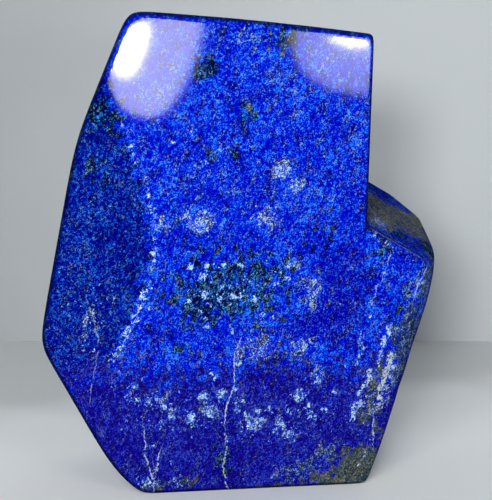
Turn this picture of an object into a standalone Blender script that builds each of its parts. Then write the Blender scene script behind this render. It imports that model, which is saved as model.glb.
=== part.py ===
"""A polished free-form block of lapis lazuli, 200 mm tall, that stands on its own sawn base.

The stone is one solid, made in the way that a lapidary works: a rough block is ground flat on one
side after another, a wedge is sawn out beside the top for the notch, and every edge is eased
round. The edges of the polished face are crisp, and those of the back are worn softer.

Frame: +X to the right of the polished face, +Y to the back, +Z up. The origin is on the table,
under the middle of the stone. Sizes in the tables are millimetres and degrees.
"""

import math

import bmesh
import bpy
from mathutils import Vector

MM = 0.001  # metres in a millimetre

HEART = Vector((-2.03, 1.0, 98.0)) * MM  # the point inside the stone that every reach starts from
ROUGH_BLOCK = 600.0 * MM  # side of the block before grinding, far larger than the stone

# A facet is (turn, rise, reach). Turn is its heading, 0 to the front, 90 to the right, 180 to the
# back; rise is how far it faces up from level; reach is its distance from the heart in mm.
POLISHED_FACE = {
    "face": (0, 0, 33.0),
    "face_left": (-6, -1.5, 36.4),
    "face_low": (0, -6, 37.0),
}
LEFT_SIDE = {
    "left_high": (-92, 23.2, 82.9),
    "left_middle": (-92, 11.7, 76.4),
    "left_corner": (-92, -4, 84.9),
    "left_low": (-92, -27.7, 88.7),
    "heel": (-92, -45, 99.0),
}
RIGHT_SIDE = {
    "right_corner": (74, -3, 85.8),
    "right_flare": (47.3, -10.3, 77.0),
    "right_low": (92, -18.4, 81.2),
}
BACK = {
    "back": (180, 0, 31.0),
    "back_left": (-138, 4, 64.0),
    "back_right": (140, -6, 72.5),
    "back_high": (180, 24, 50.0),
    "back_low": (180, -20, 53.0),
}
TOP_AND_BASE = {
    "top_left": (120, 86, 100.0),
    "top_right": (105, 82.3, 100.0),
    "base": (0, -90, 98.0),
}

# The notch beside the top has one wall and a floor that turns down round the shoulder. Each wedge
# sawn out lies outside the wall and outside one facet of the floor.
NOTCH_WALL = (87, -1, 52.3)
NOTCH_FLOOR = {
    "ledge": (58.3, 52.7, 48.7),
    "shoulder": (66.5, 23.9, 79.2),
}

EASED_EDGE = 1.8 * MM
EASED_BACK_EDGE = 3.6 * MM
EASED_SEGMENTS = 3
BACK_STARTS = 10.0 * MM  # an edge that lies wholly behind this is a back edge
EDGE_ANGLE = math.radians(9)  # two facets that meet at less than this keep their crease
FLAT_ANGLE = math.radians(0.3)  # and at less than this they are one facet
SAW_CRUMB = 0.5 * MM  # corners closer together than this are one corner


def facing(turn, rise):
    """The unit vector that a facet faces."""
    turn, rise = math.radians(turn), math.radians(rise)
    return Vector(
        (math.sin(turn) * math.cos(rise), -math.cos(turn) * math.cos(rise), math.sin(rise))
    )


def cut_block(name, facets, keep_inside=True):
    """A rough block cut flat at each facet in turn, keeping the heart's side or the other one."""
    block = bmesh.new()
    bmesh.ops.create_cube(block, size=ROUGH_BLOCK)
    bmesh.ops.translate(block, verts=block.verts, vec=HEART)
    for turn, rise, reach in facets:
        outward = facing(turn, rise)
        cut = bmesh.ops.bisect_plane(
            block,
            geom=block.verts[:] + block.edges[:] + block.faces[:],
            dist=1e-7,
            plane_co=HEART + outward * reach * MM,
            plane_no=outward,
            clear_outer=keep_inside,
            clear_inner=not keep_inside,
        )
        rim = [item for item in cut["geom_cut"] if isinstance(item, bmesh.types.BMEdge)]
        bmesh.ops.edgeloop_fill(block, edges=rim)
    bmesh.ops.recalc_face_normals(block, faces=block.faces)
    mesh = bpy.data.meshes.new(name)
    block.to_mesh(mesh)
    block.free()
    thing = bpy.data.objects.new(name, mesh)
    bpy.context.scene.collection.objects.link(thing)
    return thing


def saw_out(stone, cutter):
    """Takes the cutter's shape out of the stone for good, and removes the cutter."""
    saw = stone.modifiers.new("saw", "BOOLEAN")
    saw.object = cutter
    saw.operation = "DIFFERENCE"
    saw.solver = "EXACT"
    bpy.context.view_layer.update()
    sawn = bpy.data.meshes.new_from_object(
        stone.evaluated_get(bpy.context.evaluated_depsgraph_get())
    )
    stone.modifiers.remove(saw)
    stone.data = sawn
    bpy.data.objects.remove(cutter)


def ease_edges(stone):
    """Rounds the outer edges, those of the back more widely than the others."""
    shape = bmesh.new()
    shape.from_mesh(stone.data)
    bmesh.ops.remove_doubles(shape, verts=shape.verts, dist=SAW_CRUMB)
    bmesh.ops.dissolve_limit(
        shape, angle_limit=FLAT_ANGLE, verts=shape.verts, edges=shape.edges
    )
    share = shape.edges.layers.float.new("bevel_weight_edge")
    for edge in shape.edges:
        ends = [vert.co for vert in edge.verts]
        on_table = max(end.z for end in ends) < SAW_CRUMB
        if edge.is_convex and edge.calc_face_angle() > EDGE_ANGLE and not on_table:
            at_back = min(end.y for end in ends) > BACK_STARTS
            edge[share] = 1.0 if at_back else EASED_EDGE / EASED_BACK_EDGE
    shape.to_mesh(stone.data)
    shape.free()
    bevel = stone.modifiers.new("eased edges", "BEVEL")
    bevel.limit_method = "WEIGHT"
    bevel.width = EASED_BACK_EDGE
    bevel.segments = EASED_SEGMENTS


def polished_lapis():
    """Deep ultramarine, glossy from the last polish."""
    material = bpy.data.materials.new("polished_lapis")
    material.use_nodes = True
    shader = material.node_tree.nodes["Principled BSDF"]
    shader.inputs["Base Color"].default_value = (0.010, 0.020, 0.42, 1.0)
    shader.inputs["Roughness"].default_value = 0.12
    shader.inputs["Metallic"].default_value = 0.0
    return material


def main():
    for thing in list(bpy.data.objects):
        bpy.data.objects.remove(thing)
    ground = {**POLISHED_FACE, **LEFT_SIDE, **RIGHT_SIDE, **BACK, **TOP_AND_BASE}
    stone = cut_block("lapis_stone", ground.values())
    for name, floor in NOTCH_FLOOR.items():
        saw_out(stone, cut_block(name, [NOTCH_WALL, floor], keep_inside=False))
    ease_edges(stone)
    stone.data.materials.append(polished_lapis())


main()
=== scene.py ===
import math

import bpy
import numpy as np
from mathutils import Matrix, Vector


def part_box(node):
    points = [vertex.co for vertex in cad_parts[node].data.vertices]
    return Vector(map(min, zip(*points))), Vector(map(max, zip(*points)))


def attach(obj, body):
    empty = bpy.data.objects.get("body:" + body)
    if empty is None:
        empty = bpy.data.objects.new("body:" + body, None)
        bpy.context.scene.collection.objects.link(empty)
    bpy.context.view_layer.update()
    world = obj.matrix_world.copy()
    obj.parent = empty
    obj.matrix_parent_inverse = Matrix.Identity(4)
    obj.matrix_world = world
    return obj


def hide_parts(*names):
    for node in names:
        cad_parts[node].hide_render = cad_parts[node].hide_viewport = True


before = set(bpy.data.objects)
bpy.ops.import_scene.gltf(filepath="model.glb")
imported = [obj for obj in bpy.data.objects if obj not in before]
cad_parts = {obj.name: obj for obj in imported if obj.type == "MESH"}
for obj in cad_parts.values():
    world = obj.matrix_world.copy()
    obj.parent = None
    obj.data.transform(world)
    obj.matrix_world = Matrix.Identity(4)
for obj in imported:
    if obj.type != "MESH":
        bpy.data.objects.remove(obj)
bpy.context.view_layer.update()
mm = 0.001  # metres in a millimetre
print("frame loaded")


def linearColour(hexColour):
    # an sRGB hex value as linear red, green and blue with full alpha
    shares = [int(hexColour[i:i + 2], 16) / 255 for i in (1, 3, 5)]
    return [c / 12.92 if c <= 0.04045 else ((c + 0.055) / 1.055) ** 2.4 for c in shares] + [1.0]


def addNode(tree, kind, settings=None, feeds=()):
    # one node: settings are its own properties. Feeds go to its sockets, in order, or by number or name. Each
    # is a value, a socket, or a node, whose first live output is taken.
    node = tree.nodes.new("ShaderNode" + kind)
    for name, value in (settings or {}).items():
        if name == "stops":
            for element, (place, hexColour) in zip(node.color_ramp.elements, value[:2]):
                element.position = place
                element.color = linearColour(hexColour)
            for place, hexColour in value[2:]:
                node.color_ramp.elements.new(place).color = linearColour(hexColour)
        else:
            setattr(node, name, value)
    for socket, feed in feeds.items() if isinstance(feeds, dict) else enumerate(feeds):
        if isinstance(feed, bpy.types.Node):
            feed = next(output for output in feed.outputs if output.enabled)
        if isinstance(feed, bpy.types.NodeSocket):
            tree.links.new(feed, node.inputs[socket])
        else:
            node.inputs[socket].default_value = feed
    return node


# settings that many nodes share
add = {"operation": "ADD"}
multiply = {"operation": "MULTIPLY"}
multiplyAdd = {"operation": "MULTIPLY_ADD"}
scale = {"operation": "SCALE"}
smooth = {"interpolation_type": "SMOOTHSTEP"}
blend = {"data_type": "RGBA"}


def heading(turn, rise):
    # unit vector: turn 0 is the front, 90 the right, 180 the back; rise is degrees above level
    t, r = np.radians(turn), np.radians(rise)
    return np.stack([np.sin(t) * np.cos(r), -np.cos(t) * np.cos(r), np.sin(r)], axis=-1)


def smoothStep(start, end, value):
    # 0 before the start, 1 after the end, and between them three times the square less twice the cube
    share = np.clip((value - start) / (end - start), 0.0, 1.0)
    return share * share * (3.0 - 2.0 * share)


# the camera stands a little left of the stone and looks slightly down on it
camera = {
    "turn": -7.0,  # degrees round from straight in front, to the left
    "rise": 10.0,  # degrees above level
    "distance": 490.0,  # mm from the target
    "target": (1.97, 1.0, 100.5),  # mm
    "lens": 80.0,
    "sensor": 36.0,  # along the longer side of the picture
    "clip": (0.02, 20.0),  # metres, the nearest and farthest that it sees
}
cameraBack = heading(camera["turn"], camera["rise"])
cameraPlace = np.array(camera["target"]) + cameraBack * camera["distance"]
cameraRight = np.cross([0.0, 0.0, 1.0], cameraBack)
cameraRight /= np.linalg.norm(cameraRight)


def placeObject(thing, right, up, back, place):
    # puts a camera or lamp at a place in mm so that its own x, y and z axes run right, up and back
    bpy.context.scene.collection.objects.link(thing)
    matrix = np.eye(4)
    matrix[:3, :3] = np.stack([right, up, back], axis=1)
    matrix[:3, 3] = np.asarray(place) * mm
    thing.matrix_world = Matrix(matrix.tolist())
    return thing


def addCamera():
    # looks along the line from its place to the target
    lens = bpy.data.cameras.new("camera")
    lens.lens = camera["lens"]
    lens.sensor_width = camera["sensor"]
    lens.clip_start, lens.clip_end = camera["clip"]
    view = bpy.data.objects.new("camera", lens)
    bpy.context.scene.camera = placeObject(
        view, cameraRight, np.cross(cameraBack, cameraRight), cameraBack, cameraPlace)


addCamera()
print("camera placed")

# the stone's skin, as a lapidary would note it: each facet is (turn, rise, reach in mm from the heart)
stoneForm = {
    "heartFromMiddle": (-2.03, 1.0),  # mm right of and behind the middle of the node's box
    "heartHeight": 98.0,
    "faces": {"face": (0, 0, 33.0), "faceLeft": (-6, -2.14, 36.26), "faceLow": (0, -6, 37.0)},
    "sides": {
        "leftHigh": (-92, 23.2, 82.9), "leftMiddle": (-92, 11.7, 76.7), "leftCorner": (-92, -4, 85.9),
        "leftLow": (-92, -27.7, 89.1), "heel": (-92, -45, 100.0), "leftShoulder": (-98, 52, 107.4),
        "rightCorner": (67, 1.8, 85.0), "rightFlare": (47.3, -10.3, 77.3), "rightLow": (92, -18.4, 81.2),
        "topLeft": (120, 86, 100.45), "topRight": (105, 82.3, 100.5), "base": (0, -90, 98.0),
    },
    "backs": {
        "back": (180, 0, 31.0), "backLeft": (-138, 4, 64.0), "backRight": (141.4, -2.6, 72.5),
        "backHigh": (180, 24, 50.0), "backLow": (180, -20, 53.0),
    },
    "wall": {"wall": (87, -1, 52.1)},  # the notch's wall, which bounds the tall block only
    "ledge": {"ledge": (61.2, 55.9, 48.0), "shoulder": (65.3, 23.8, 79.4)},  # and its floor, the broad one
    "crispFaces": 190.0,  # how tight the edges between facets of one kind are: the higher, the tighter
    "crispBacks": 90.0,
    "crispSides": 72.0,
    "easedFront": 3.0,  # mm, how far the rounding of the front rim and of the back rim reaches
    "easedBack": 5.0,
    "notchFill": 3.0,  # mm, how far the notch's inner corner is eased
    "columns": 640,  # points round the outline
    "rings": {"face": 84, "rim": 20, "side": 14, "backRim": 12, "back": 9},
    "rimReach": 4.2,  # mm to each side of the front rim where the rings lie close
    "backRimReach": 6.0,
    "rimSpacing": 1.4,  # the power that draws those rings towards the rim itself
    "rimSteps": 1201,  # rays tried from face to back in the search for the rims
    "waveHeight": 0.04,  # mm, what is left of the flat lap's waviness
    # three sines, each by its radians per mm along x, y and z and its start
    "waves": [(0.11, 0.0, 0.07, 0.6), (-0.05, 0.1, 0.16, 2.1), (0.19, 0.12, -0.03, 0.0)],
    "waveStart": (3.0, 12.0),  # mm above the base
}
nodeLow, nodeHigh = (np.array(corner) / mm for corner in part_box("lapis_stone"))
nodeMiddle = (nodeLow + nodeHigh) / 2
heart = np.array([nodeMiddle[0] + stoneForm["heartFromMiddle"][0],
                  nodeMiddle[1] + stoneForm["heartFromMiddle"][1],
                  nodeLow[2] + stoneForm["heartHeight"]])


def closeness(rays, facets):
    # one over the length of each ray to each facet's plane, and 0 where the facet faces away
    table = np.array(list(facets.values()), float)
    return np.maximum(rays @ (heading(table[:, 0], table[:, 1]) / table[:, 2:]).T, 0.0)


def hardReach(rays, facets):
    # length of each ray to the nearest plane
    return 1.0 / np.maximum(closeness(rays, facets).max(axis=-1), 1e-6)


def blendedReach(rays, facets, crisp):
    # the same with eased edges: one over the p-norm of the closenesses, where p is how crisp the edges are
    near = closeness(rays, facets)
    most = np.maximum(near.max(axis=-1), 1e-6)
    return 1.0 / (most * ((near / most[..., None]) ** crisp).sum(axis=-1) ** (1.0 / crisp))


def eased(first, second, reach):
    # the shorter of two lengths, less a quarter of the squared overlap where they differ by less than reach
    overlap = np.maximum(reach - np.abs(first - second), 0.0)
    return np.minimum(first, second) - overlap ** 2 / (4 * reach)


def softReach(rays, extra):
    # length of each ray to the skin: the facets of one kind are blended first, then face, sides and back
    form = stoneForm
    face = blendedReach(rays, form["faces"], form["crispFaces"])
    side = blendedReach(rays, {**form["sides"], **extra}, form["crispSides"])
    back = blendedReach(rays, form["backs"], form["crispBacks"])
    return eased(eased(face, side, form["easedFront"]), back, form["easedBack"])


def stoneReach(rays):
    # a tall block and a broad block are one stone: each ray runs to the farther skin of the two. Where both
    # have a cut of their own, in the notch, a quarter of the squared overlap fills the inner corner.
    form = stoneForm
    whole, tall, broad = (softReach(rays, extra) for extra in ({}, form["wall"], form["ledge"]))
    overlap = np.maximum(form["notchFill"] - np.abs(tall - broad), 0.0)
    inNotch = smoothStep(0.0, form["notchFill"], whole - np.maximum(tall, broad))
    return np.maximum(tall, broad) + inNotch * overlap ** 2 / (4 * form["notchFill"])


def rayAt(around, out):
    # around is the clock angle seen from the front; out runs from 0 at the face to pi at the back
    around, out = np.broadcast_arrays(around, out)
    return np.stack([np.sin(out) * np.cos(around), -np.cos(out), np.sin(out) * np.sin(around)], axis=-1)


def rimCorners(around):
    # (distance out, depth) of the hard corner between face and side, and of that between side and back
    form = stoneForm
    out = np.linspace(0.0, math.pi, form["rimSteps"])
    rays = rayAt(around[:, None], out[None, :])
    side = np.maximum(hardReach(rays, {**form["sides"], **form["wall"]}),
                      hardReach(rays, {**form["sides"], **form["ledge"]}))
    front, back = hardReach(rays, form["faces"]), hardReach(rays, form["backs"])
    atFront = np.argmax(side < front, axis=1)
    atBack = len(out) - 1 - np.argmax((side < back)[:, ::-1], axis=1)
    row = np.arange(len(around))
    return [np.stack([length[row, place] * np.sin(out[place]), -length[row, place] * np.cos(out[place])])
            for place, length in ((atFront, front), (atBack, back))]


def ringAngles(around):
    # the out angle of every ring in every column: even steps along face, side and back, and close
    # steps over both rims, each step taken along the straight line between two corners
    form, rings = stoneForm, stoneForm["rings"]
    frontRim, backRim = rimCorners(around)
    facePole = np.stack([np.zeros_like(around), np.full_like(around, -form["faces"]["face"][2])])
    backPole = np.stack([np.zeros_like(around), np.full_like(around, form["backs"]["back"][2])])

    def along(start, end, steps):
        # steps is in mm from start towards end, one row for each ring
        return start[:, None, :] + (end - start)[:, None, :] * (steps / np.hypot(*(end - start)))[None]

    near, far = form["rimReach"], form["backRimReach"]
    faceSize, sideSize, backSize = (np.hypot(*(a - b))[None, :] for a, b in (
        (frontRim, facePole), (backRim, frontRim), (backPole, backRim)))
    bends = np.linspace(-1.0, 1.0, rings["rim"])
    bends = (near * np.sign(bends) * np.abs(bends) ** form["rimSpacing"])[:, None]
    softBends = np.linspace(-far, far, rings["backRim"])[:, None]
    faceShares = (np.arange(1, rings["face"] + 1) / (rings["face"] + 1))[:, None]
    sideShares = (np.arange(1, rings["side"] + 1) / (rings["side"] + 1))[:, None]
    backShares = (np.arange(1, rings["back"] + 1) / (rings["back"] + 1))[:, None]
    spots = np.concatenate([
        along(facePole, frontRim, faceShares * (faceSize - near)),
        along(frontRim, facePole, -bends[bends[:, 0] < 0]),
        along(frontRim, backRim, bends[bends[:, 0] >= 0]),
        along(frontRim, backRim, near + (sideSize - near - far) * sideShares),
        along(backRim, frontRim, -softBends[softBends[:, 0] < 0]),
        along(backRim, backPole, softBends[softBends[:, 0] >= 0]),
        along(backPole, backRim, backShares * (backSize - far)),
    ], axis=1)
    return np.sort(np.arctan2(spots[0], -spots[1]), axis=0)


def stoneSkin():
    # rings of points on rays from the heart, closed by one point in the middle of the face and one in the
    # middle of the back
    form = stoneForm
    around = np.arange(form["columns"]) / form["columns"] * 2 * math.pi
    out = ringAngles(around)
    rays = np.concatenate([rayAt(around[None, :], out).reshape(-1, 3), [[0, -1, 0], [0, 1, 0]]])
    spots = heart + rays * stoneReach(rays)[:, None]
    # the mean of crossed sines 30 to 60 mm long, less 1, so always taken inwards, and not on the base
    table = np.array(form["waves"])
    waves = np.sin(spots @ table[:, :3].T + table[:, 3]).mean(axis=1) - 1
    waves = waves * smoothStep(*form["waveStart"], spots[:, 2] - nodeLow[2])
    spots = spots + rays * (form["waveHeight"] * waves)[:, None]
    index = np.arange(out.size).reshape(out.shape)
    here, after = index, np.roll(index, -1, axis=1)
    quads = np.stack([here[:-1], after[:-1], after[1:], here[1:]], axis=-1).reshape(-1, 4)
    pole = np.full(form["columns"], out.size)
    faceFan = np.stack([pole, after[0], here[0]], axis=-1)
    backFan = np.stack([pole + 1, here[-1], after[-1]], axis=-1)
    return spots, quads, np.concatenate([faceFan, backFan])


def meshPiece(name, spots, quads, triangles):
    # a mesh object at the origin from points in mm and whole arrays of corners
    data = bpy.data.meshes.new(name)
    corners = np.concatenate([quads.ravel(), triangles.ravel()])
    starts = np.concatenate([np.arange(len(quads)) * 4, len(quads) * 4 + np.arange(len(triangles)) * 3])
    data.vertices.add(len(spots))
    data.vertices.foreach_set("co", (spots * mm).astype(np.float32).ravel())
    data.loops.add(len(corners))
    data.loops.foreach_set("vertex_index", corners.astype(np.int32))
    data.polygons.add(len(starts))
    data.polygons.foreach_set("loop_start", starts.astype(np.int32))
    data.update(calc_edges=True)
    data.shade_smooth()
    piece = bpy.data.objects.new(name, data)
    bpy.context.scene.collection.objects.link(piece)
    return piece


skinSpots, skinQuads, skinTriangles = stoneSkin()
stone = meshPiece("lapis_skin", skinSpots, skinQuads, skinTriangles)
print("stone skin:", len(skinSpots), "points")

# where the minerals lie, with the painted shade of the eased rim and the partly painted shade of the violet
# lower ground, in mm as the frame has them. A patch is (x, y, z, half-width, half-depth, half-height, lean in
# degrees to the right, strength). The front of the stone is at y -32.
minerals = {
    # the greener, darker ground on the left ends at this line, (x, z) from the top down
    "tealEdge": [(-59, 200), (-55, 168), (-50, 150), (-45, 136), (-42, 122), (-41, 110), (-42, 99),
                 (-44, 91), (-47, 80), (-51, 71), (-58, 60), (-78, 48)],
    "tealSlant": 0.25,  # how far left the line moves for each mm that it goes back
    "tealSoft": (8.0, -9.0),  # mm from the line where the darker ground starts and is full
    # the violet ground lies below a wavy line, darker partly in the stone's own colour and partly as painted
    # shade of the lower face, which turns down from the lamps: its height at the front, how far it sinks for
    # each mm that it goes back, where it starts and is full, and its waves' height, radians per mm and start
    "violet": {"top": 57.0, "sink": 0.3, "soft": (32.0, -30.0), "wave": (3.0, 0.09, 1.0)},
    "patches": {
        "dark": [
            (-18, -32, 180, 6, 20, 6, 0, 1.0), (-59, -32, 162, 10, 20, 9, -20, 0.8),
            (-62, -32, 140, 8, 20, 12, 15, 0.5), (-10, -32, 90, 34, 14, 19, 0, 0.73),
            (-13, -32, 87, 20, 14, 11, 0, 0.92), (2, -32, 98, 20, 14, 9, 0, 0.7),
            (-20, -32, 78, 16, 14, 8, 0, 0.55), (-21, -32, 108, 12, 14, 8, 0, 0.5),
            (14, -32, 191, 9, 20, 8, 0, 0.75), (-1, -32, 162, 6, 10, 6, 0, 0.75),
            (-17, -32, 144, 4, 10, 3, 0, 0.6), (-6, -32, 146, 3, 10, 4, 0, 0.6),
            (-11, -32, 13, 6, 20, 13, 0, 0.55), (56, -32, 105, 7, 20, 9, 0, 0.5),
            (63, -30, 80, 5, 12, 14, 10, 0.6), (-43, -32, 87, 3, 10, 3, 0, 0.7),
            (-30, -32, 66, 9, 14, 6, 10, 0.5), (30, -32, 110, 12, 14, 8, -20, 0.45),
            (-31, -32, 122, 5, 14, 12, 0, 0.4), (14, -32, 60, 20, 12, 4, 0, 0.35),
            (66, -18, 111, 10, 7, 5, 0, 0.9), (80, -12, 104, 5, 12, 8, 0, 0.8),
            (-32, 34, 150, 17, 16, 14, 0, 0.6), (38, 34, 34, 22, 16, 12, 0, 0.5),
        ],
        "calcite": [
            (-10, -32, 89, 22, 8, 13, 0, 0.28), (8, -32, 94, 12, 8, 8, 0, 0.25),
            (-66, -32, 76, 10, 12, 16, 0, 0.2), (-5, -32, 35, 26, 8, 12, 0, 0.14),
            (-38, -32, 36, 16, 8, 10, 0, 0.16), (20, -32, 32, 14, 8, 12, 0, 0.2),
            (20, -32, 7, 13, 8, 5, -15, 0.34), (-44, -32, 16, 6, 8, 14, 0, 0.12),
            (13, -32, 139, 3.5, 6, 3.5, 0, 0.36), (19, -32, 132, 3.5, 6, 3, 0, 0.34),
            (6, -32, 120, 5, 6, 4, 0, 0.3), (-18, -32, 120, 6, 6, 6, 0, 0.32),
            (-43, -32, 5, 6, 8, 3, 0, 0.8), (-31, -32, 5, 4, 8, 3, 0, 0.7), (26, -32, 91, 5, 8, 6, 0, 0.25),
            (50, -32, 42, 9, 12, 20, 12, 0.25), (3, -32, 65, 5, 8, 5, 0, 0.25),
            (21, -32, 65, 4, 8, 4, 0, 0.25), (56, -18, 114, 6, 10, 5, -35, 0.5),
            (20, 34, 96, 11, 12, 34, 24, 0.26), (-30, 34, 60, 18, 12, 10, 0, 0.2),
        ],
        "olive": [
            (50, -28, 4, 13, 24, 13, 40, 1.6), (38, -30, 1, 14, 24, 6, 20, 1.0),
            (20, -30, -1, 24, 24, 4, 0, 0.8), (56, -28, 26, 4, 20, 10, 8, 0.5),
            (54, -30, 50, 4, 12, 12, 14, 0.7), (49, -32, 31, 4, 12, 6, 0, 0.7),
            (53, 0, 136, 5, 24, 14, 0, 0.8), (12, -32, 189, 7, 14, 6, 0, 0.45),
            (70, -24, 72, 3, 14, 12, 10, 0.5), (0, -32, 163, 4, 10, 4, 0, 0.5),
            (-40, -32, 4, 10, 14, 3, 0, 0.7), (-56, -32, 62, 5, 10, 6, 0, 0.4),
            (-26, -32, 5, 6, 14, 3, 0, 0.7), (66, 26, 44, 11, 16, 13, 0, 0.6),
        ],
        "cream": [
            (56, -32, 44, 9, 20, 22, 8, 1.2), (48, -28, 4, 14, 24, 12, 35, 0.8),
            (-38, -32, 3, 12, 12, 4, 0, 0.6),
        ],
        # khaki: the ledge's matrix, lighter than the olive partly in its own colour and partly as painted
        # light, making up for the lower light on the ledge
        "khaki": [
            (74, 4, 110, 16, 14, 14, 0, 1.4), (62, -2, 118, 10, 18, 12, 0, 1.3),
            (54, -16, 117, 5, 10, 7, 0, 1.2), (84, 14, 106, 8, 14, 10, 0, 1.2),
        ],
        "deep": [
            (38, -32, 88, 16, 30, 24, 0, 1.1), (25, -32, 73, 16, 30, 10, 0, 0.9),
            (36, -32, 58, 8, 20, 14, 0, 0.7), (-40, -32, 66, 6, 14, 14, 30, 0.6),
            (30, -32, 118, 12, 20, 10, 0, 0.5), (-28, -32, 110, 8, 16, 12, 0, 0.4),
            (-24, -32, 168, 8, 16, 12, 0, 0.5), (62, -32, 78, 8, 16, 14, 0, 0.6),
            (-70, -32, 124, 5, 30, 38, 13, 0.66), (-57, -32, 112, 8, 20, 7, 0, 0.5),
            (10, -32, 22, 22, 20, 9, 0, 0.8), (-30, -32, 22, 12, 20, 9, 0, 0.7),
            (40, -32, 150, 10, 20, 30, 0, 0.35), (30, 34, 60, 30, 20, 24, 0, 0.8),
        ],
        "slate": [
            (67, -28, 70, 7, 14, 16, 14, 1.1), (63, -30, 52, 4, 12, 10, 14, 0.9),
            (74, -22, 90, 6, 14, 12, 12, 1.0), (80, -14, 98, 7, 14, 10, 0, 1.0),
            (66, -32, 86, 5, 10, 10, 20, 0.5), (22, -32, 8, 13, 12, 7, -15, 0.75),
            (-44, -32, 3, 8, 12, 4, 0, 0.6), (34, -32, 16, 7, 12, 6, -30, 0.7),
            (52, -32, 34, 5, 12, 10, 20, 0.6),
        ],
        "cloud": [
            (3, -32, 65, 10, 12, 7, 0, 0.75), (21, -32, 65, 7, 12, 7, 0, 0.65),
            (26, -32, 89, 8, 12, 10, 10, 0.6), (-6, -32, 60, 8, 12, 5, 0, 0.5),
            (13, -32, 139, 4.5, 10, 4.5, 0, 0.95), (19, -32, 132, 3.5, 10, 3.5, 0, 0.85),
            (6, -32, 120, 7, 10, 6, 0, 0.7), (-22, -32, 119, 9, 10, 7, 30, 0.7),
            (-36, -32, 118, 5, 10, 5, 0, 0.6), (-72, -32, 102, 5, 10, 6, 0, 0.3),
            (17, -32, 99, 4, 10, 3, 0, 0.8), (-68, -32, 74, 8, 10, 12, 10, 0.45),
            (69, -12, 109, 8, 3, 3, 0, 0.6), (-19.5, -32, 44, 3, 8, 3, 0, 0.8),
            (-12.5, -32, 44.5, 3, 8, 3, 0, 0.8), (-17, -32, 37, 5, 8, 4, 0, 0.7),
            (-25, -32, 34, 3, 8, 5, 0, 0.7), (2, -32, 31, 6, 8, 5, 0, 0.75), (14, -32, 31, 4, 8, 5, 0, 0.7),
            (18, -32, 25, 4, 8, 4, 0, 0.7), (21, -32, 43, 4, 8, 5, 0, 0.7), (29, -32, 51, 4, 8, 6, 0, 0.6),
            (-40, -32, 43, 7, 8, 3, 0, 0.6), (-35, -32, 36, 5, 8, 6, 0, 0.5),
            (56, -32, 48, 8, 12, 14, 12, 0.5), (-8, 34, 128, 22, 16, 12, 20, 0.6),
            (26, 34, 164, 12, 16, 9, 0, 0.5),
        ],
    },
    # single flecks of calcite on the face: (x, z, half-size, strength)
    "flecks": [
        (-24, 154.5, 1.2, 0.7), (-31.5, 150.5, 1.2, 0.7), (-27, 145.5, 1, 0.55), (-18.5, 142.5, 1, 0.55),
        (-12, 148, 1.2, 0.62), (-13, 151, 1, 0.55), (5.5, 158.5, 1, 0.55), (13.5, 149, 1, 0.55),
        (-25, 100, 1.6, 0.78), (-18.5, 100, 1.6, 0.78), (-20, 95.5, 2, 0.78), (-19, 88, 2, 0.78),
        (-13, 86, 1.6, 0.78), (-7.5, 87, 1.8, 0.78), (-4, 87, 1.6, 0.78), (-11, 100, 1.4, 0.7),
        (-11.5, 91.5, 1.4, 0.7), (-4.5, 100, 1.4, 0.7), (15.5, 94, 1.4, 0.7), (10.5, 92, 1.4, 0.62),
        (-25.5, 85.5, 1.6, 0.7), (-21, 81, 1.4, 0.7), (-19, 78, 1.2, 0.62), (5, 79, 1.4, 0.62),
        (9, 78, 1.2, 0.62), (1.5, 85.5, 1.4, 0.7), (-18.5, 74.5, 1.6, 0.62), (-8, 72, 1.6, 0.62),
        (17, 99.5, 2, 0.47), (-57.5, 61, 3.2, 0.62), (-54.5, 63.5, 1.6, 0.47), (-42, 82, 1.2, 0.47),
        (-62, 85, 1, 0.39), (-60, 77.5, 1, 0.39), (-67, 74.5, 1, 0.39), (-56, 87, 1, 0.39),
        (-64, 68, 1, 0.39), (-53.5, 56, 2.4, 0.57), (-49.5, 48.5, 2.6, 0.64), (-51, 44, 3, 0.64),
        (-47.5, 42.5, 2.4, 0.64), (-43, 41.5, 3, 0.57), (-39, 43.5, 3, 0.57), (-36, 40, 2.2, 0.58),
        (-33.5, 36, 3, 0.57), (-37, 33, 2.4, 0.58), (-32, 30.5, 2.2, 0.5), (-25, 34, 4.2, 0.64),
        (-19.5, 44, 2.6, 0.65), (-12.5, 44.5, 2.6, 0.65), (-17, 37, 4.7, 0.57), (-17, 54, 1.6, 0.58),
        (-15, 52.5, 1.6, 0.58), (-6, 46.5, 1.8, 0.57), (-7, 41.5, 1.8, 0.57), (-6, 37.5, 2.1, 0.64),
        (-2, 35.5, 2.4, 0.64), (3, 37, 3, 0.57), (-4, 41.5, 1.6, 0.58), (0.5, 30, 3.8, 0.58),
        (-3, 27.5, 2.7, 0.5), (4.5, 31.5, 2.7, 0.58), (13.5, 31, 3.8, 0.5), (17.5, 25, 3.8, 0.5),
        (21, 42.5, 3.8, 0.5), (28.5, 50, 3.8, 0.41), (36.5, 44.5, 2.1, 0.57), (32, 35.5, 2.1, 0.57),
        (21, 28, 2.2, 0.41), (-43, 21.5, 1.4, 0.58), (-41, 23, 1.4, 0.58), (-33.5, 14, 1.4, 0.58),
        (-27.5, 42.5, 1.6, 0.41), (-43.5, 35, 2.2, 0.41), (47, 68, 1.6, 0.47), (67.5, 85.5, 1.6, 0.47),
        (74, 90.5, 1.6, 0.62), (75, 96, 1.4, 0.62), (52, 112, 1.6, 0.62), (57.5, 108, 1.2, 0.62),
        (59.5, 109.5, 1.2, 0.47), (8, 22, 1.6, 0.6), (11, 26, 2.2, 0.62), (25, 38, 2.4, 0.6),
        (26, 33, 2.6, 0.62), (8, 37, 1.8, 0.6), (16, 36, 2.2, 0.6), (-52, 34, 2, 0.5), (-57, 50, 1.8, 0.55),
        (-60, 46, 1.6, 0.55), (-46, 52, 1.6, 0.5), (-30, 47, 1.6, 0.45), (56.1, 95.8, 1.1, 0.7),
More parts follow.
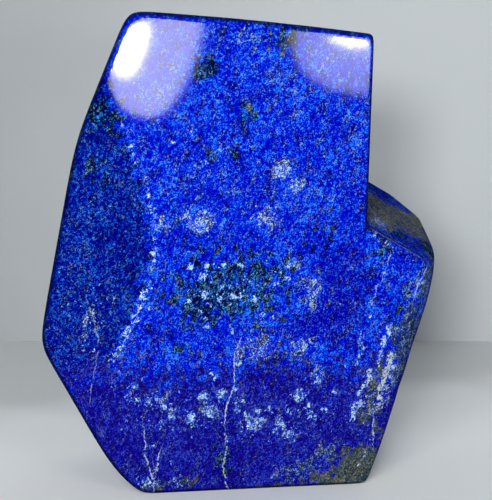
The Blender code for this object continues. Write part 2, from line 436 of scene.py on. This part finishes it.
        (53.2, 89.9, 1, 0.6), (51.2, 82.6, 1.2, 0.66), (50.1, 77, 1.1, 0.6), (57.6, 107.6, 1.4, 0.62),
        (59.8, 104.6, 1, 0.55), (-52.8, 163.8, 1.2, 0.62), (-51.7, 157.8, 1, 0.55),
        (-48.3, 149.5, 1.5, 0.74), (-47.2, 146.3, 1.1, 0.66), (-46.4, 142.7, 1.1, 0.6),
        (-41.8, 129.3, 1.4, 0.66), (-41.1, 125.2, 1.2, 0.6), (-39.1, 121.5, 1, 0.55),
        (-40.6, 106, 1.2, 0.62),
    ],
    # strings of calcite: (half-width, strength, its (x, z) points from the top down)
    "strings": [
        (1.6, 0.36, [(-42.5, 136.5), (-42, 129.5), (-39.5, 121.5), (-39, 107.5), (-40.5, 97.5), (-42, 92.5),
                     (-45, 82.5), (-48.5, 75.5), (-50.5, 81)]),
        (1.7, 0.55, [(-44, 90), (-47, 79), (-49, 75), (-52.5, 72.5)]),
        (1.6, 0.45, [(-48.5, 75.5), (-52.5, 68), (-57, 62.5)]),
        (1.5, 0.75, [(59, 72), (58.8, 69.5)]),
        (1.5, 0.7, [(57, 67.5), (56, 64)]),
        (1.3, 0.5, [(56, 62), (55, 57), (54.5, 53)]),
        (2.0, 0.7, [(60, 60), (59, 54), (57.5, 49), (56.5, 46)]),
        (3.2, 0.4, [(61, 54), (58, 47), (55.5, 38)]),
        (1.8, 0.65, [(56.5, 45), (55.7, 41), (56, 36)]),
        (1.8, 0.65, [(51, 53), (51, 49), (49, 46), (46.8, 42.5)]),
        (2.0, 0.7, [(47.5, 38), (44.5, 36.5), (45, 31.5)]),
        (1.0, 0.5, [(46.5, 70), (46, 66), (48.5, 63.5), (45.5, 58.5), (44.5, 55.5)]),
        (1.4, 0.5, [(52.5, 19), (50.5, 13.5), (48, 9)]),
    ],
    # a vein is (half-width, strength, depth in mm that it runs in, its (x, z) points from the top down)
    "veins": {
        "middle": (0.2, 0.75, 30, [(-4.5, 68.5), (-7, 62.5), (-7, 49), (-8, 45.5), (-9.5, 41.5),
                                   (-10.5, 36), (-11, 31.5)]),
        "middleLow": (0.27, 0.66, 30, [(-10.5, 26.5), (-10, 19.5), (-11.5, 12), (-11, 9), (-10, 4),
                                       (-9, 0)]),
        "fork": (0.22, 0.66, 30, [(-45, 30), (-44.5, 22.5), (-45.5, 18.5), (-44, 16.5), (-43, 13), (-42, 9),
                                  (-41, 0)]),
        "forkBranch": (0.24, 0.7, 30, [(-38.5, 19), (-39.5, 15.5), (-39.5, 12), (-40.5, 8), (-41, 4.5)]),
        "left": (0.16, 0.34, 30, [(-67, 86), (-65, 78.5), (-64, 73.5), (-63, 69.5), (-63.5, 63), (-66, 51),
                                  (-68.5, 35.5)]),
        "right": (0.18, 0.5, 20, [(58.5, 103), (57.5, 98.5), (56, 95), (55, 91.5), (53, 90), (53, 87),
                                  (52, 85)]),
        "bandLine": (0.3, 0.7, 20, [(53.5, 32), (53.5, 26.5), (54, 21.5)]),
        "chamfer": (0.3, 0.6, 20, [(75, 97), (70.5, 89), (69.5, 84.5)]),
        "ledgeCrack": (0.3, 0.5, 50, [(54.5, 122.5), (57, 116.5), (58.5, 113.5)]),
    },
    # painted shade on the eased edge round the face, standing in for the dark room that the polish would
    # mirror there: mm from the hard facet to the eased skin where the dark rim starts, is full, fades and
    # ends, and how much fainter it is along the right chamfer, from one x to another and below these heights
    "rim": {"start": 0.06, "full": 0.4, "fade": 3.0, "end": 8.0, "faint": 0.85, "across": (40.0, 55.0),
            "below": (116.0, 104.0)},
    "fleckDepth": 6.0,  # mm from the front at which single flecks and strings have sunk to a third
    "stringDepth": 10.0,
    "farAway": 9.0,  # mm, the distance from any vein or string that counts as away from all
    "farWidth": 0.3,  # mm, the half-width that is noted there
}


def patchMask(spots, patches):
    # the strongest of several soft patches, each its strength times e to the minus squared distance, where
    # the distance is in half-widths
    mask = np.zeros(len(spots))
    for x, y, z, wide, deep, tall, lean, strength in patches:
        turn = math.radians(lean)
        across, depth, rise = (spots - (x, y, z)).T
        shifted = (across * math.cos(turn) - rise * math.sin(turn)) / wide
        raised = (rise * math.cos(turn) + across * math.sin(turn)) / tall
        near = shifted ** 2 + raised ** 2 + (depth / deep) ** 2
        mask = np.maximum(mask, strength * np.exp(-near))
    return mask


def fading(spots, depth):
    # e to the minus squared distance behind the front, in depths
    return np.exp(-((spots[:, 1] - nodeLow[1]) / depth) ** 2)


def dotMask(spots, dots):
    # the strongest of many small round patches on the face
    place = spots[:, [0, 2]]
    mask = np.zeros(len(spots))
    for x, z, size, strength in dots:
        away = ((place - (x, z)) ** 2).sum(axis=1) / size ** 2
        mask = np.maximum(mask, strength * np.exp(-away))
    return mask * fading(spots, minerals["fleckDepth"])


def distanceAlong(place, points):
    # signed distance in mm of each (x, z) place from a line of straight runs
    offset = np.full(len(place), minerals["farAway"])
    for start, end in zip(np.array(points[:-1], float), np.array(points[1:], float)):
        run = end - start
        share = np.clip(((place - start) @ run) / (run @ run), 0.0, 1.0)
        gap = place - start - share[:, None] * run
        distance = np.hypot(gap[:, 0], gap[:, 1])
        side = np.where(gap[:, 0] * run[1] > gap[:, 1] * run[0], 1.0, -1.0)
        offset = np.where(distance < np.abs(offset), distance * side, offset)
    return offset


def stringMask(spots, strings):
    # the strongest of several strings of flecks, each fading with the squared distance in half-widths
    mask = np.zeros(len(spots))
    for half, strength, points in strings:
        away = distanceAlong(spots[:, [0, 2]], points) / half
        mask = np.maximum(mask, strength * np.exp(-away ** 2))
    return mask * fading(spots, minerals["stringDepth"])


def veinField(spots, veins):
    # for each point the signed distance in mm to the nearest vein, as seen from the front, with that vein's
    # half-width and its strength, which fades with depth
    offset = np.full(len(spots), minerals["farAway"])
    width = np.full(len(spots), minerals["farWidth"])
    strength = np.zeros(len(spots))
    for half, force, depth, points in veins.values():
        away = distanceAlong(spots[:, [0, 2]], points)
        closer = np.abs(away) < np.abs(offset)
        offset = np.where(closer, away, offset)
        width = np.where(closer, half, width)
        strength = np.where(closer, force * fading(spots, depth), strength)
    return offset, width, strength


def paintedRimShade(spots):
    # painted shade: 1 on the eased edge round the face, by how far the skin lies inside the face's hard
    # facets, standing in for the dark room that the edge would mirror
    rim = minerals["rim"]
    rays = spots - heart
    length = np.linalg.norm(rays, axis=1)
    short = blendedReach(rays / length[:, None], stoneForm["faces"], stoneForm["crispFaces"]) - length
    faint = rim["faint"] * smoothStep(*rim["across"], spots[:, 0]) * smoothStep(*rim["below"], spots[:, 2])
    shown = smoothStep(rim["start"], rim["full"], short) * smoothStep(rim["end"], rim["fade"], short)
    return shown * (1.0 - faint)


def markMineralsAndShade(piece, spots):
    # each mineral's share, from 0 to about 1, for every point of the skin, with the painted shade of the
    # eased rim
    x, y, z = spots.T
    behind = y - nodeLow[1]
    edge = np.array(minerals["tealEdge"][::-1], float)
    slant = x + minerals["tealSlant"] * behind
    violet = minerals["violet"]
    high, step, start = violet["wave"]
    level = violet["top"] - violet["sink"] * behind + high * np.sin(x * step + start)
    shares = {name: patchMask(spots, patches) for name, patches in minerals["patches"].items()}
    shares["teal"] = smoothStep(*minerals["tealSoft"], slant - np.interp(z, edge[:, 1], edge[:, 0]))
    # the violet ground, partly painted shade of the lower face
    shares["violet"] = smoothStep(*violet["soft"], z - level)
    shares["calcite"] = np.maximum(shares["calcite"], dotMask(spots, minerals["flecks"]))
    shares["calcite"] = np.maximum(shares["calcite"], stringMask(spots, minerals["strings"]))
    shares["veinOffset"], shares["veinWidth"], shares["veinStrength"] = veinField(spots, minerals["veins"])
    shares["rim"] = paintedRimShade(spots)
    for name, values in shares.items():
        field = piece.data.attributes.new(name, "FLOAT", "POINT")
        field.data.foreach_set("value", np.asarray(values, np.float32))
    return list(shares)


markedFields = markMineralsAndShade(stone, skinSpots)
print("minerals marked:", len(markedFields), "fields")

# Lapis lazuli, ground and polished: a rock of interlocked grains. Lazurite gives the deep ultramarine,
# diopside the greener and darker spots, calcite the white flecks and veins, pyrite rare brassy specks. The
# last polish leaves a clear mirror over the blue, and a duller one over calcite and the olive matrix.
lapis = {
    "ior": 1.5,
    # noises by name: the size of their features in mm, their detail and their roughness. The real grains are
    # finer than this one, too fine to show
    "grainNoises": {
        "grain": (0.38, 2.0, 0.6), "mottle": (2.4, 2.0, 0.6), "hue": (2.6, 4.0, 0.68),
        "fray": (2.6, 5.0, 0.72), "speck": (1.0, 4.0, 0.68), "pits": (0.8, 2.0, 0.6),
    },
    # these aren't drawn out with the grains
    "steadyNoises": {
        "clump": (7.0, 3.0, 0.6), "drift": (24.0, 2.0, 0.6),
        "wander": (1.6, 4.0, 0.6), "broken": (1.8, 2.0, 0.6),
    },
    "cell": 0.38 / 0.7,  # mm, the size of a crystal of one shade
    "contrast": {"grain": 3.2, "cell": 0.8, "mottle": 0.8, "clump": 0.9, "drift": 0.5},
    "push": {"reach": 2.2, "scale": 0.9, "detail": 3.0},  # mm that the grains are pushed, and waves per mm
    "streak": 1.7,  # how many times longer than wide the grains are
    "streakLean": 25.0,  # degrees to the right
    "middle": 0.45,  # the tone of the middle grain
    # where each noise or field begins to show and where it is full
    "edges": {
        "hue": (0.46, 0.62), "ground": (0.36, 0.64), "azure": (0.64, 0.69), "fleck": (0.68, 0.73),
        "brass": (0.9965, 0.998), "line": (1.5, 0.5), "broken": (0.36, 0.5), "pits": (0.72, 0.8),
    },
    "zones": {
        # each ground has a purer and a greyer row of colours, from its darkest grains to its lightest
        "ultramarine": (["#0101a1", "#0305b3", "#040dbc", "#051ec5", "#0f43d7", "#2a84f3"],
                        ["#02025d", "#070d79", "#091891", "#142aa4", "#3c4db4", "#6a93d5"]),
        "deep": (["#02009b", "#050191", "#060299", "#080ca5", "#192fb2", "#266ee1"],
                 ["#04005f", "#070369", "#08087d", "#101491", "#34319c", "#5678c1"]),
        "teal": (["#010068", "#01027a", "#010680", "#010f86", "#05269c", "#2068c8"],
                 ["#01014b", "#010657", "#021060", "#03186a", "#0f2c7c", "#4e76b4"]),
        # violet: the lower ground's rows, dark partly in its own colour and partly as painted shade of the
        # lower face
        "violet": (["#0a0266", "#0d0474", "#100684", "#130a90", "#18189e", "#2a44bc"],
                   ["#0a0452", "#0e0a66", "#140f74", "#1a1880", "#262c8e", "#4a5cae"]),
        "cloud": (["#101a93", "#212ea7", "#3149ba", "#546ecc", "#80a6e2", "#aed4f9"],
                  ["#101849", "#252e5c", "#3c497a", "#687692", "#96a8bd", "#bbd4df"]),
        "slate": (["#0a1a66", "#14286e", "#1e3874", "#2c4c80", "#46689a", "#8aa0b8"],
                  ["#101c3c", "#1c2c4e", "#2a3c5c", "#3c4e6a", "#5c6c80", "#98a4aa"]),
        "dark": (["#000248", "#01072b", "#010c3e", "#041d5b", "#094898", "#2a82ca"],
                 ["#000223", "#010a1c", "#030f27", "#081c32", "#22405a", "#5e8597"]),
        "olive": (["#0e2c4b", "#2a3f47", "#3d4943", "#484e47", "#565a5b", "#787668"],
                  ["#10252a", "#283332", "#3b3f36", "#45483c", "#53534b", "#7c765f"]),
        # khaki: lighter rows for the ledge, partly its own colour and partly painted light for the lower
        # light there
        "khaki": (["#011084", "#41605e", "#79815a", "#8c8d5a", "#555747", "#9c9687"],
                  ["#010b6e", "#3e585e", "#6e7a5e", "#848b5a", "#525441", "#95907d"]),
    },
    "stops": [0.12, 0.42, 0.56, 0.7, 0.84, 1.0],  # the 5th, 25th, 50th, 75th, 92nd and 99th grain of 100
    "matrix": ["olive", "khaki"],  # the softer grounds
    "fray": 2.4,  # how far the broken edge of a ground reaches into its neighbour
    "calciteForce": 0.36,  # how much a full calcite field adds to the speck noise
    "azure": "#1464dc",
    "calcite": ["#5a91dc", "#c8dce6"],
    "cream": ["#828c8c", "#ccd4cc"],
    "pyrite": "#6e6440",
    "vein": "#b4c3dc",
    "wander": 2.6,  # mm, from side to side of a vein's way
    # painted shade: rim is the dark colour laid over the eased edge, and its share below says how strongly
    "rim": "#04082c",
    "shares": {"azure": 0.6, "pyrite": 0.7, "rim": 0.8},  # how strongly each colour is laid on
    # roughness after the polish, and how much rougher the lightest grain is than the darkest
    "gloss": {"lazurite": 0.028, "calcite": 0.1, "matrix": 0.14, "grain": 0.012},
    "relief": {"grain": 0.0000016, "pits": 0.00004},  # metres, what the softer minerals lose in polishing
    "matrixPits": 0.08,  # how much likelier a pit is in the matrix
}


def lapisMaterial():
    # one tone picks each grain's colour in every ground's two rows, hue mixes the rows, the marked fields lay
    # the grounds over one another, and flecks, pyrite, veins and the painted shade of the eased rim are laid
    # on top
    material = bpy.data.materials.new("polished lapis lazuli")
    material.use_nodes = True
    tree = material.node_tree
    tree.nodes.clear()
    edges, gloss, relief = lapis["edges"], lapis["gloss"], lapis["relief"]
    place = addNode(tree, "TexCoord").outputs["Object"]
    place = addNode(tree, "VectorMath", scale, {0: place, 3: 1 / mm})
    fields = {
        name: addNode(tree, "Attribute", {"attribute_name": name}).outputs["Fac"] for name in markedFields}
    # grains, pushed about by a finer noise so that none is round, and drawn out along the bedding
    push = addNode(tree, "TexNoise", {}, {
        "Vector": place, "Scale": lapis["push"]["scale"], "Detail": lapis["push"]["detail"]})
    push = addNode(tree, "VectorMath", {"operation": "SUBTRACT"}, (push.outputs["Color"], (0.5, 0.5, 0.5)))
    pushed = addNode(tree, "VectorMath", multiplyAdd, (push, (lapis["push"]["reach"],) * 3, place))
    pushed = addNode(tree, "Mapping", {"vector_type": "TEXTURE"}, {
        "Vector": pushed, "Rotation": (0.0, math.radians(lapis["streakLean"]), 0.0),
        "Scale": (1.0, 1.0, lapis["streak"])})
    noises = {}
    for vector, group in ((pushed, lapis["grainNoises"]), (place, lapis["steadyNoises"])):
        for name, (size, detail, rough) in group.items():
            noises[name] = addNode(tree, "TexNoise", {}, {
                "Vector": vector, "Scale": 1 / size, "Detail": detail, "Roughness": rough})
    cell = addNode(tree, "TexVoronoi", {}, {"Vector": pushed, "Scale": 1 / lapis["cell"]})
    shades = addNode(tree, "SeparateColor", {}, (cell.outputs["Color"],)).outputs
    # tone: 0 the darkest grain, 1 the lightest, each noise weighed about its own middle
    tone = lapis["middle"] - sum(lapis["contrast"].values()) / 2
    for name, weight in lapis["contrast"].items():
        shade = shades[0] if name == "cell" else noises[name]
        tone = addNode(tree, "Math", multiplyAdd, (shade, weight, tone))
    # hue: which of the two rows of colours a grain takes
    hue = addNode(tree, "MapRange", smooth, (noises["hue"], *edges["hue"]))
    # the edge of every ground is broken by this noise
    fray = addNode(tree, "Math", multiplyAdd, (noises["fray"], lapis["fray"], -lapis["fray"] / 2))
    colour, matrix = None, 0.0
    for name, rows in lapis["zones"].items():
        low, high = (
            addNode(tree, "ValToRGB", {"stops": list(zip(lapis["stops"], row))}, (tone,)) for row in rows)
        ground = addNode(tree, "Mix", blend, {0: hue, 6: low, 7: high})
        if colour is None:
            colour = ground
            continue
        share = addNode(tree, "Math", add, (fields[name], fray))
        share = addNode(tree, "MapRange", smooth, (share, *edges["ground"]))
        colour = addNode(tree, "Mix", blend, {0: share, 6: colour, 7: ground})
        if name in lapis["matrix"]:
            matrix = addNode(tree, "Math", {"operation": "MAXIMUM"}, (matrix, share))
    # calcite flecks, thick where the calcite field is high and rare elsewhere, each fading into azure
    speck = addNode(tree, "Math", multiplyAdd, (fields["calcite"], lapis["calciteForce"], noises["speck"]))
    fringe = addNode(tree, "MapRange", smooth, (speck, *edges["azure"]))
    fringe = addNode(tree, "Math", multiply, (fringe, lapis["shares"]["azure"]))
    colour = addNode(tree, "Mix", blend, {0: fringe, 6: colour, 7: linearColour(lapis["azure"])})
    fleck = addNode(tree, "MapRange", smooth, (speck, *edges["fleck"]))
    pale, cream = (
        addNode(tree, "Mix", blend, {0: shades[1], 6: linearColour(low), 7: linearColour(high)})
        for low, high in (lapis["calcite"], lapis["cream"]))
    pale = addNode(tree, "Mix", blend, {0: fields["cream"], 6: pale, 7: cream})
    colour = addNode(tree, "Mix", blend, {0: fleck, 6: colour, 7: pale})
    # pyrite: a few fine brassy grains
    brass = addNode(tree, "MapRange", smooth, (shades[2], *edges["brass"]))
    brass = addNode(tree, "Math", multiply, (brass, lapis["shares"]["pyrite"]))
    colour = addNode(tree, "Mix", blend, {0: brass, 6: colour, 7: linearColour(lapis["pyrite"])})
    # veins: full within the half-width of the wandering middle line, and broken along it
    across = addNode(tree, "Math", multiplyAdd, (noises["wander"], lapis["wander"], fields["veinOffset"]))
    across = addNode(tree, "Math", {"operation": "SUBTRACT"}, (across, lapis["wander"] / 2))
    across = addNode(tree, "Math", {"operation": "ABSOLUTE"}, (across,))
    across = addNode(tree, "Math", {"operation": "DIVIDE"}, (across, fields["veinWidth"]))
    line = addNode(tree, "MapRange", smooth, (across, *edges["line"]))
    broken = addNode(tree, "MapRange", smooth, (noises["broken"], *edges["broken"]))
    line = addNode(tree, "Math", multiply, (line, broken))
    line = addNode(tree, "Math", multiply, (line, fields["veinStrength"]))
    colour = addNode(tree, "Mix", blend, {0: line, 6: colour, 7: linearColour(lapis["vein"])})
    # painted shade: the eased edge is darkened, standing in for the dark room that it would mirror
    rim = addNode(tree, "Math", multiply, (fields["rim"], lapis["shares"]["rim"]))
    colour = addNode(tree, "Mix", blend, {0: rim, 6: colour, 7: linearColour(lapis["rim"])})
    # calcite and the matrix take less polish than lazurite, and stand a little lower
    clear = gloss["lazurite"]
    rough = addNode(tree, "Math", multiplyAdd, (fleck, gloss["calcite"] - clear, clear))
    rough = addNode(tree, "Math", multiplyAdd, (matrix, gloss["matrix"] - clear, rough))
    rough = addNode(tree, "Math", multiplyAdd, (noises["grain"], gloss["grain"], rough))
    pits = addNode(tree, "Math", multiplyAdd, (matrix, lapis["matrixPits"], noises["pits"]))
    pits = addNode(tree, "MapRange", smooth, (pits, *edges["pits"]))
    height = addNode(tree, "Math", multiply, (pits, -relief["pits"]))
    height = addNode(tree, "Math", multiplyAdd, (noises["grain"], relief["grain"], height))
    height = addNode(tree, "Math", multiplyAdd, (fleck, -relief["grain"], height))
    bump = addNode(tree, "Bump", {}, {"Strength": 1.0, "Distance": 1.0, "Height": height})
    shader = addNode(tree, "BsdfPrincipled", {}, {
        "Base Color": colour, "Roughness": rough, "IOR": lapis["ior"], "Metallic": 0.0, "Normal": bump})
    addNode(tree, "OutputMaterial", {}, {"Surface": shader})
    return material


stone.data.materials.append(lapisMaterial())
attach(stone, "root")
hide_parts("lapis_stone")
print("lapis polished")

# a pale table that meets a pale wall square to the camera's view. The table is matt laminate and the wall
# matt paint: both spread the light evenly and mirror nothing, and each has a painted shade over one side.
room = {
    "wallFoot": (31.0, 224.0),  # mm, a point on the line where the table meets the wall
    "half": 1600.0,
    "height": 1500.0,
    "front": 2600.0,
    "floorColour": "#f0f4f5",
    "floorRough": 0.9,
    "wallColour": "#bcc1c3",
    "wallRough": 0.95,
    # painted shade: each is darker on one side, where less light would reach it: the direction in which it
    # gets lighter, where in metres that starts and ends, and how light the dark side is
    "floorPaintedShade": {"along": (0.16, -1.03, 0.0), "start": -0.083, "end": -0.013, "dark": 0.76},
    "wallPaintedShade": {"along": (1.0, 0.0, -0.3), "start": -0.16, "end": 0.1, "dark": 0.7},
    "patches": {"scale": 9.0, "detail": 2.0, "push": 0.12},  # how uneven the shade's edge is
}


def plainMaterial(name, hexColour, roughness, shade):
    # a matt surface with a soft uneven painted shade over one side. It has no back, so that the stone can
    # also be looked at from behind.
    material = bpy.data.materials.new(name)
    material.use_nodes = True
    tree = material.node_tree
    tree.nodes.clear()
    uneven = room["patches"]
    place = addNode(tree, "TexCoord").outputs["Object"]
    along = addNode(tree, "VectorMath", {"operation": "DOT_PRODUCT"}, (place, shade["along"]))
    patches = addNode(tree, "TexNoise", {}, {
        "Vector": place, "Scale": uneven["scale"], "Detail": uneven["detail"]})
    along = addNode(tree, "Math", multiplyAdd, (patches, uneven["push"], along))
    # painted shade: the colour is scaled down to the dark share on one side
    light = addNode(tree, "MapRange", smooth, (along, shade["start"], shade["end"], shade["dark"], 1.0))
    colour = addNode(tree, "VectorMath", scale, {0: linearColour(hexColour)[:3], 3: light})
    shader = addNode(tree, "BsdfPrincipled", {}, {
        "Base Color": colour, "Roughness": roughness, "Specular IOR Level": 0.0})
    behind = addNode(tree, "NewGeometry").outputs["Backfacing"]
    oneSided = addNode(tree, "MixShader", {}, (behind, shader, addNode(tree, "BsdfTransparent")))
    addNode(tree, "OutputMaterial", {}, {"Surface": oneSided})
    return material


def addRoom():
    # two flat sheets: the table runs from the wall towards the camera and past it
    foot = np.array([*room["wallFoot"], 0.0])
    toward = np.array([cameraBack[0], cameraBack[1], 0.0])
    toward *= room["front"] / np.linalg.norm(toward)
    side = cameraRight * room["half"]
    rise = np.array([0.0, 0.0, room["height"]])
    left, right = foot - side, foot + side
    corners = np.array([[0, 1, 2, 3]])
    none = np.zeros((0, 3), int)
    floor = meshPiece("table", np.array([left, left + toward, right + toward, right]), corners, none)
    backdrop = meshPiece("wall", np.array([left, right, right + rise, left + rise]), corners, none)
    floor.data.materials.append(
        plainMaterial("matt laminate", room["floorColour"], room["floorRough"], room["floorPaintedShade"]))
    backdrop.data.materials.append(
        plainMaterial("matt paint", room["wallColour"], room["wallRough"], room["wallPaintedShade"]))
    # the polish would mirror both and veil the stone's colour, most of all in the lower face and the ledge
    floor.visible_glossy = False
    backdrop.visible_glossy = False


addRoom()

# soft lamps, each by its heading from the stone, its distance and size in mm, and its light: how bright it
# alone makes white paper that faces it, with 1 as white
lamps = {
    "lowLeft": {"turn": -17.5, "rise": 12.7, "distance": 1300, "size": 200, "light": 0.60},
    "highLeft": {"turn": -24, "rise": 33, "distance": 1300, "size": 400, "light": 0.37},
    "highRight": {"turn": 22, "rise": 33, "distance": 1300, "size": 400, "light": 0.12},
}
# soft boxes for the sides, the back and the top, which shine in the polish there
softBoxes = {
    "boxRight": {"turn": 104, "rise": 38, "distance": 1100, "size": 420, "light": 0.08},
    "boxLeft": {"turn": -112, "rise": 30, "distance": 1100, "size": 420, "light": 0.1},
    "boxBehind": {"turn": 196, "rise": 34, "distance": 1100, "size": 520, "light": 0.3},
}
# lamps that the polished face mirrors: where each is seen on the face and its size there in mm, its lean in
# degrees to the left, its radiance at the edge and in the middle, with 1 as white paper's, how square it is,
# from 2 as an ellipse up, and the share of its half-size over which its edge is soft
mirrored = {
    "hazeLeft": {"spot": (-39.6, 186), "size": (33.2, 51.5), "lean": -21, "edge": 8.5, "middle": 9.5,
                 "square": 3.1, "soft": 0.06},
    "coreLeft": {"spot": (-48, 187.6), "size": (13, 27), "lean": -27, "edge": 30.0, "middle": 60.0,
                 "square": 2.4, "soft": 0.25},
    "hazeRight": {"spot": (47.3, 196.5), "size": (66, 56), "lean": 0, "edge": 4.2, "middle": 9.0,
                  "square": 2.2, "soft": 0.06},
    "coreRight": {"spot": (40.5, 192), "size": (20, 9), "lean": -12, "edge": 18.0, "middle": 50.0,
                  "square": 2.2, "soft": 0.4},
}
mirroredDistance = 1500.0  # mm in front of the stone's middle
studio = {"colour": "#e6ebf0", "light": 0.08}  # the faint light from all round


def addLamp(name, place, aim, size, power, glossy, lean=0.0):
    # a rectangular lamp that faces its aim. Lean turns it about that line.
    lamp = bpy.data.lights.new(name, "AREA")
    lamp.shape = "RECTANGLE"
    lamp.size = size[0] * mm
    lamp.size_y = size[1] * mm
    lamp.energy = power
    back = (place - aim) / np.linalg.norm(place - aim)
    level = np.cross([0.0, 0.0, 1.0], back)
    level /= np.linalg.norm(level)
    upright = np.cross(back, level)
    turn = math.radians(lean)
    right = level * math.cos(turn) + upright * math.sin(turn)
    lampObject = placeObject(bpy.data.objects.new(name, lamp), right, np.cross(back, right), back, place)
    lampObject.visible_camera = False
    lampObject.visible_glossy = glossy
    return lamp


def shapeLamp(lamp, look):
    # radiance by the distance from the middle: the square-th root of the sum of both half-shares, each to the
    # square-th power
    lamp.use_nodes = True
    tree = lamp.node_tree
    place = addNode(tree, "NewGeometry").outputs["Parametric"]
    place = addNode(tree, "VectorMath", multiplyAdd, (place, (2.0, 2.0, 2.0), (-1.0, -1.0, -1.0)))
    place = addNode(tree, "VectorMath", {"operation": "ABSOLUTE"}, (place,))
    halves = addNode(tree, "SeparateXYZ", {}, (place,)).outputs
    powers = [addNode(tree, "Math", {"operation": "POWER"}, (half, look["square"])) for half in halves[:2]]
    away = addNode(tree, "Math", add, powers)
    away = addNode(tree, "Math", {"operation": "POWER"}, (away, 1 / look["square"]))
    light = addNode(tree, "MapRange", {}, (away, 0.0, 1.0, look["middle"], look["edge"]))
    inside = addNode(tree, "MapRange", smooth, (away, 1.0, 1.0 - look["soft"]))
    light = addNode(tree, "Math", multiply, (light, inside))
    tree.links.new(light.outputs[0], tree.nodes["Emission"].inputs["Strength"])


def addLamps():
    # soft lamps and boxes round the stone's middle, and the mirrored lamps where the face shows them
    for name, lamp in {**lamps, **softBoxes}.items():
        place = nodeMiddle + heading(lamp["turn"], lamp["rise"]) * lamp["distance"]
        # light times pi squared times the squared distance in metres is the power in watts
        power = lamp["light"] * (math.pi * lamp["distance"] * mm) ** 2
        addLamp(name, place, nodeMiddle, (lamp["size"], lamp["size"]), power, name in softBoxes)
    # the camera's mirror image behind the face sees each of these lamps through its spot on the face
    mirrorCamera = cameraPlace * (1, -1, 1) + (0, 2 * nodeLow[1], 0)
    for name, look in mirrored.items():
        spot = np.array([look["spot"][0], nodeLow[1], look["spot"][1]])
        reach = (-mirroredDistance - mirrorCamera[1]) / (spot - mirrorCamera)[1]
        place = mirrorCamera + (spot - mirrorCamera) * reach
        size = np.array(look["size"]) * reach
        # pi times the area in square metres is the power in watts of a radiance of 1, which the lamp's own
        # nodes multiply
        power = math.pi * size[0] * size[1] * mm * mm
        shapeLamp(addLamp(name, place, spot, size, power, True, look["lean"]), look)


def addWorld():
    # an even light from all round, which the polish doesn't mirror
    world = bpy.data.worlds.new("studio")
    bpy.context.scene.world = world
    world.use_nodes = True
    background = world.node_tree.nodes["Background"]
    background.inputs["Color"].default_value = linearColour(studio["colour"])
    background.inputs["Strength"].default_value = studio["light"]
    world.cycles_visibility.glossy = False
    bpy.context.scene.view_settings.view_transform = "Standard"


addLamps()
addWorld()
print("room and lamps set")
